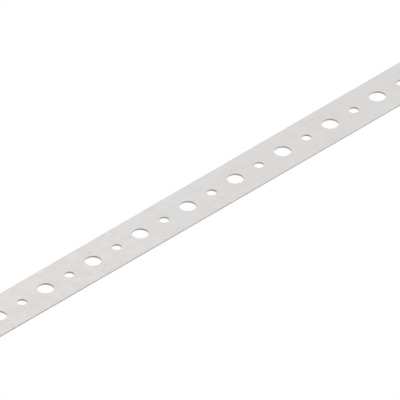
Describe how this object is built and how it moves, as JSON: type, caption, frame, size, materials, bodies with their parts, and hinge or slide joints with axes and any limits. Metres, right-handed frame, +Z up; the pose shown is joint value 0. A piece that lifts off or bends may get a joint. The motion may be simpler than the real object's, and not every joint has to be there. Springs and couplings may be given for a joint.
{
  "type": "perforated steel strap",
  "caption": "Flat galvanised steel band with one row of punched holes, large and small in turn, for bolting, screwing or hanging things along its length.",
  "frame": {"origin": "middle of the strap's length and width, on its underside, under the middle large hole", "axes": "+X along the strap, +Y across its width, +Z up out of its upper face"},
  "size_m": [1, 0.02, 0.0008],
  "materials": {
    "zinc_coated_steel": "hot-dip galvanised, pale satin grey with a faint fine spangle"
  },
  "bodies": {
    "root": {"strap": "zinc_coated_steel"}
  },
  "joints": []
}
